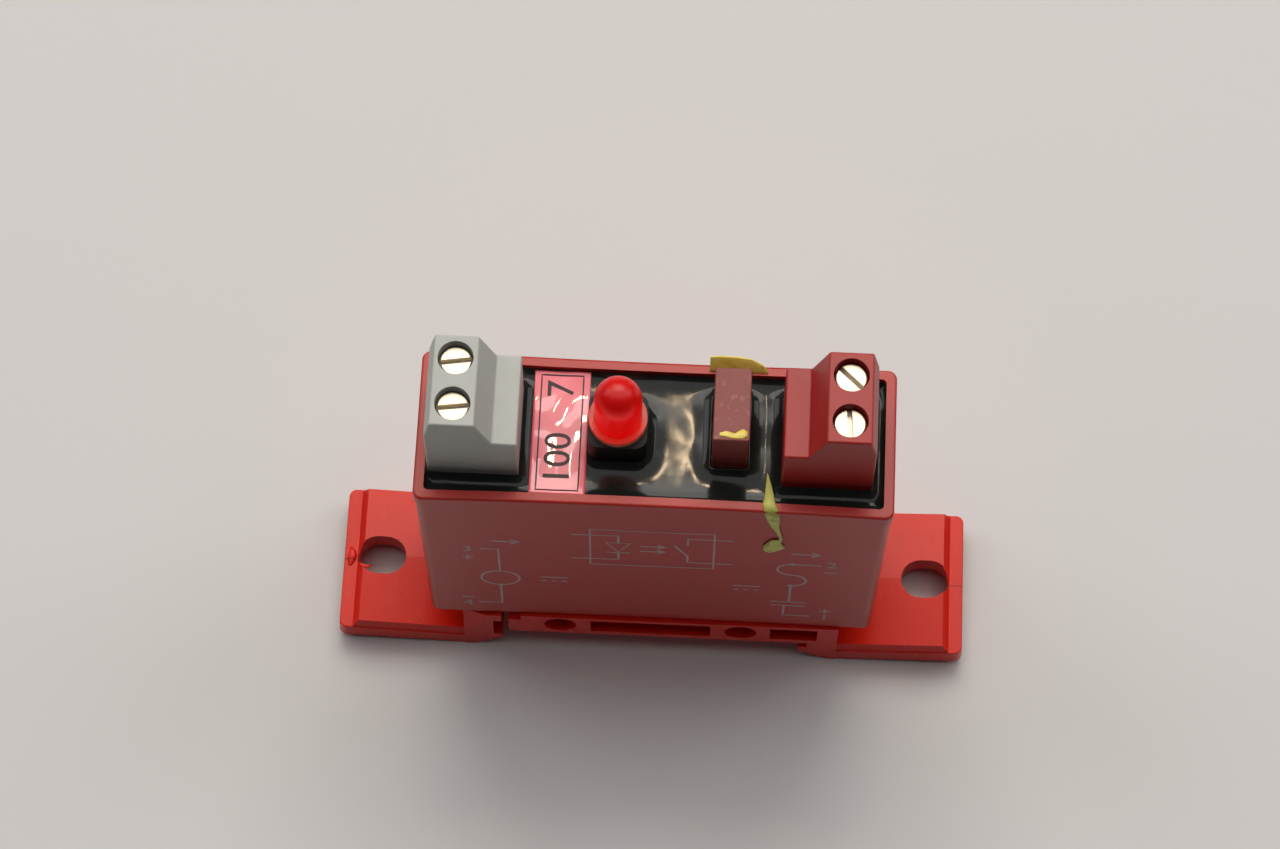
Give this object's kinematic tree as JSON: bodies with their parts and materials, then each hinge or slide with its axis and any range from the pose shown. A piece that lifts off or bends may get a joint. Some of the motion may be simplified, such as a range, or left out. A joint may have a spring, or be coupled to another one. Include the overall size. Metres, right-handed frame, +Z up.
{
  "type": "solid state relay",
  "caption": "DIN-rail solid state relay: slim potted case on a winged clip base, with screw terminal blocks at both ends, an indicator lamp and a plug-in fuse on top.",
  "frame": {"origin": "under the middle of the base, on the plane of the feet", "axes": "+X along the base towards the output terminals, -Y the printed front, +Z up to the terminals"},
  "size_m": [0.0706, 0.017, 0.0546],
  "materials": {
    "base_plastic": "semi-gloss moulded red",
    "case_plastic": "fine-textured red",
    "potting_resin": "glossy black potting",
    "grey_plastic": "light grey, fine satin",
    "red_plastic": "dull red",
    "nickel_plate": "nickel plated, warm",
    "zinc_steel": "zinc plated",
    "tinned_brass": "tin plated",
    "led_lens": "tinted, diffused",
    "black_plastic": "black nylon",
    "fuse_plastic": "brown-red thermoplastic",
    "board_laminate": "glass-epoxy laminate",
    "aluminium_plate": "bare sheet",
    "epoxy_black": "moulded epoxy",
    "resistor_coat": "lacquered beige",
    "capacitor_sleeve": "shrunk sleeve",
    "marker_film": "laminated film"
  },
  "bodies": {
    "relay_body": {"base_frame": "base_plastic", "board_link_pins": "tinned_brass", "capacitor_body": "capacitor_sleeve", "capacitor_leads": "tinned_brass", "case": "case_plastic", "clamp_diode_body": "epoxy_black", "clamp_diode_leads": "tinned_brass", "fuse_sockets": "tinned_brass", "heat_spreader": "aluminium_plate", "input_contacts": "tinned_brass", "input_terminal_housing": "grey_plastic", "led_leads": "tinned_brass", "led_lens": "led_lens", "led_spacer": "black_plastic", "main_board": "board_laminate", "marker_label": "marker_film", "optocoupler_body": "epoxy_black", "optocoupler_leads": "tinned_brass", "output_contacts": "tinned_brass", "output_terminal_housing": "red_plastic", "potting_compound": "potting_resin", "power_transistor_body": "epoxy_black", "power_transistor_leads": "tinned_brass", "power_transistor_tab": "tinned_brass", "resistor_bodies": "resistor_coat", "resistor_leads": "tinned_brass", "tab_screw": "zinc_steel", "top_board": "board_laminate"},
    "latch_foot": {"latch_foot": "base_plastic"},
    "fuse": {"fuse_body": "fuse_plastic", "fuse_pins": "tinned_brass"},
    "input_front_screw": {"input_front_screw": "nickel_plate"},
    "input_front_clamp_cage": {"input_front_clamp_cage": "zinc_steel"},
    "input_rear_screw": {"input_rear_screw": "nickel_plate"},
    "input_rear_clamp_cage": {"input_rear_clamp_cage": "zinc_steel"},
    "output_front_screw": {"output_front_screw": "nickel_plate"},
    "output_front_clamp_cage": {"output_front_clamp_cage": "zinc_steel"},
    "output_rear_screw": {"output_rear_screw": "nickel_plate"},
    "output_rear_clamp_cage": {"output_rear_clamp_cage": "zinc_steel"}
  },
  "joints": [
    {"name": "latch_flex", "type": "hinge", "parent": "relay_body", "child": "latch_foot", "pos_m": [-0.016, 0, 0.0086], "axis": [0, 1, 0], "range_deg": [0, 7], "stiffness_Nm_per_rad": 0.5},
    {"name": "fuse_pull", "type": "slide", "parent": "relay_body", "child": "fuse", "axis": [0, 0, 1], "range_m": [0, 0.008]},
    {"name": "input_front_screw_turn", "type": "hinge", "parent": "relay_body", "child": "input_front_screw", "pos_m": [-0.0207, -0.00254, 0.0521], "axis": [0, 0, 1], "range_deg": [-1800.01, 0]},
    {"name": "input_front_cage_rise", "type": "slide", "parent": "relay_body", "child": "input_front_clamp_cage", "axis": [0, 0, 1], "range_m": [0, 0.0025]},
    {"name": "input_rear_screw_turn", "type": "hinge", "parent": "relay_body", "child": "input_rear_screw", "pos_m": [-0.0207, 0.00254, 0.0521], "axis": [0, 0, 1], "range_deg": [-1800.01, 0]},
    {"name": "input_rear_cage_rise", "type": "slide", "parent": "relay_body", "child": "input_rear_clamp_cage", "axis": [0, 0, 1], "range_m": [0, 0.0025]},
    {"name": "output_front_screw_turn", "type": "hinge", "parent": "relay_body", "child": "output_front_screw", "pos_m": [0.0197, -0.00254, 0.0521], "axis": [0, 0, 1], "range_deg": [-1800.01, 0]},
    {"name": "output_front_cage_rise", "type": "slide", "parent": "relay_body", "child": "output_front_clamp_cage", "axis": [0, 0, 1], "range_m": [0, 0.0025]},
    {"name": "output_rear_screw_turn", "type": "hinge", "parent": "relay_body", "child": "output_rear_screw", "pos_m": [0.0197, 0.00254, 0.0521], "axis": [0, 0, 1], "range_deg": [-1800.01, 0]},
    {"name": "output_rear_cage_rise", "type": "slide", "parent": "relay_body", "child": "output_rear_clamp_cage", "axis": [0, 0, 1], "range_m": [0, 0.0025]}
  ],
  "couplings": [
    {"joint": "input_front_screw_turn", "follows": "input_front_cage_rise", "rad_per_m": -12566},
    {"joint": "input_rear_screw_turn", "follows": "input_rear_cage_rise", "rad_per_m": -12566},
    {"joint": "output_front_screw_turn", "follows": "output_front_cage_rise", "rad_per_m": -12566},
    {"joint": "output_rear_screw_turn", "follows": "output_rear_cage_rise", "rad_per_m": -12566}
  ]
}
